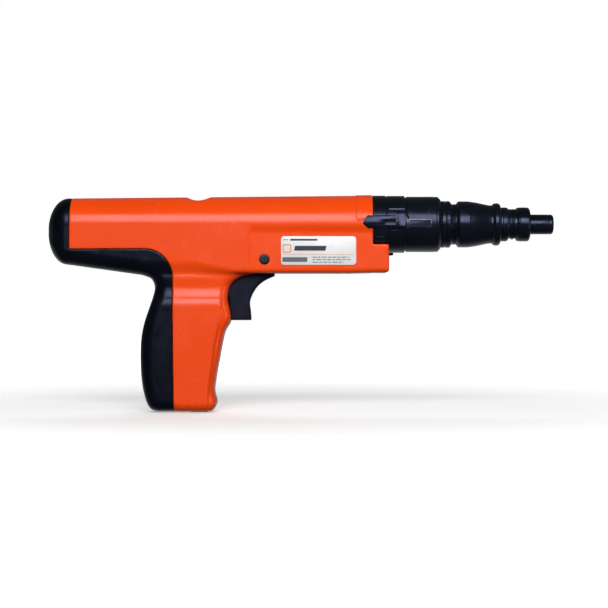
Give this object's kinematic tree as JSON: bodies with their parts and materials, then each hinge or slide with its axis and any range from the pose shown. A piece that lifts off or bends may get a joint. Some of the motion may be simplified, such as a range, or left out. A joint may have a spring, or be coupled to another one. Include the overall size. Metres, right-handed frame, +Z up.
{
  "type": "powder-actuated nail gun",
  "caption": "Hand-held powder-actuated fastening tool with a two-shell housing, rubber backstrap, trigger and a black steel nose that presses and slides on its bore axis.",
  "frame": {"origin": "centre of the muzzle face on the bore axis", "axes": "+X out of the muzzle along the bore, +Z up away from the grip, -Y to the tool's right-hand side"},
  "size_m": [0.3596, 0.0418, 0.1545],
  "materials": {
    "orange_plastic": "moulded plastic with a fine grain and a soft gloss",
    "black_rubber": "soft overmould, satin",
    "black_plastic": "moulded, satin",
    "black_steel": "oiled black oxide with turning marks",
    "gun_steel": "machined and darkened",
    "bright_steel": "ground",
    "dark_screw": "black zinc, worn at the socket",
    "label": "printed film",
    "buffer": "urethane"
  },
  "bodies": {
    "housing": {"housing_right": "orange_plastic", "housing_left": "orange_plastic", "grip_backstrap": "black_rubber", "label_plate": "label", "receiver_tube": "bright_steel", "front_collar": "black_steel", "breech_block": "gun_steel", "strip_guide": "gun_steel", "rear_plug": "gun_steel", "rear_buffer": "black_rubber", "main_spring": "bright_steel", "cocking_spring": "bright_steel", "trigger_spring": "bright_steel", "pawl_spring": "bright_steel", "housing_screws": "dark_screw", "trigger_screw": "dark_screw", "sear_pin": "bright_steel", "lever_pin": "bright_steel", "pawl_pin": "bright_steel"},
    "cocking_sleeve": {"cocking_sleeve": "bright_steel", "cocking_bars": "bright_steel"},
    "barrel": {"barrel_tube": "gun_steel", "nose_sleeve": "black_steel", "annular_spring": "black_steel", "muzzle_collar": "black_steel", "fastener_guide": "black_steel", "guide_retainer": "black_steel", "recoil_buffer": "buffer"},
    "piston": {"piston": "bright_steel", "piston_rings": "bright_steel"},
    "firing_pin": {"firing_pin": "bright_steel"},
    "trigger": {"trigger": "black_plastic"},
    "trigger_bar": {"trigger_bar": "bright_steel"},
    "sear": {"sear": "bright_steel"},
    "advance_lever": {"advance_lever": "black_steel"},
    "stop_pawl": {"stop_pawl": "black_steel"}
  },
  "joints": [
    {"name": "cocking_press", "type": "slide", "parent": "housing", "child": "cocking_sleeve", "axis": [1, 0, 0], "range_m": [-0.016, 0], "stiffness_N_per_m": 2500, "springref_m": 0.01, "deforming": ["cocking_spring"]},
    {"name": "barrel_cycle", "type": "slide", "parent": "cocking_sleeve", "child": "barrel", "axis": [1, 0, 0], "range_m": [0, 0.08]},
    {"name": "piston_drive", "type": "slide", "parent": "barrel", "child": "piston", "axis": [1, 0, 0], "range_m": [0, 0.08]},
    {"name": "firing_pin_slide", "type": "slide", "parent": "housing", "child": "firing_pin", "axis": [1, 0, 0], "range_m": [-0.012, 0.002], "stiffness_N_per_m": 800, "deforming": ["main_spring"]},
    {"name": "trigger_pull", "type": "hinge", "parent": "housing", "child": "trigger", "pos_m": [-0.2054, 0, -0.0254], "axis": [0, 1, 0], "range_deg": [0, 7], "stiffness_Nm_per_rad": 2, "springref_deg": -8.59, "deforming": ["trigger_spring"]},
    {"name": "trigger_bar_slide", "type": "slide", "parent": "housing", "child": "trigger_bar", "axis": [-1, 0, 0], "range_m": [0, 0.0022]},
    {"name": "sear_release", "type": "hinge", "parent": "housing", "child": "sear", "pos_m": [-0.273, 0, -0.025], "axis": [0, 1, 0], "range_deg": [0, 10.2]},
    {"name": "advance_lever_swing", "type": "hinge", "parent": "housing", "child": "advance_lever", "pos_m": [-0.16, 0, -0.024], "axis": [0, 1, 0], "range_deg": [0, 5.2]},
    {"name": "pawl_release", "type": "hinge", "parent": "housing", "child": "stop_pawl", "pos_m": [-0.1084, -0.018, 0], "axis": [0, 0, 1], "range_deg": [0, 5], "stiffness_Nm_per_rad": 0.5, "springref_deg": -5.73, "deforming": ["pawl_spring"]}
  ],
  "couplings": [
    {"joint": "trigger_bar_slide", "follows": "trigger_pull", "m_per_rad": 0.017},
    {"joint": "sear_release", "follows": "trigger_pull", "ratio": 1.417},
    {"joint": "advance_lever_swing", "follows": "barrel_cycle", "rad_per_m": 1.09}
  ]
}
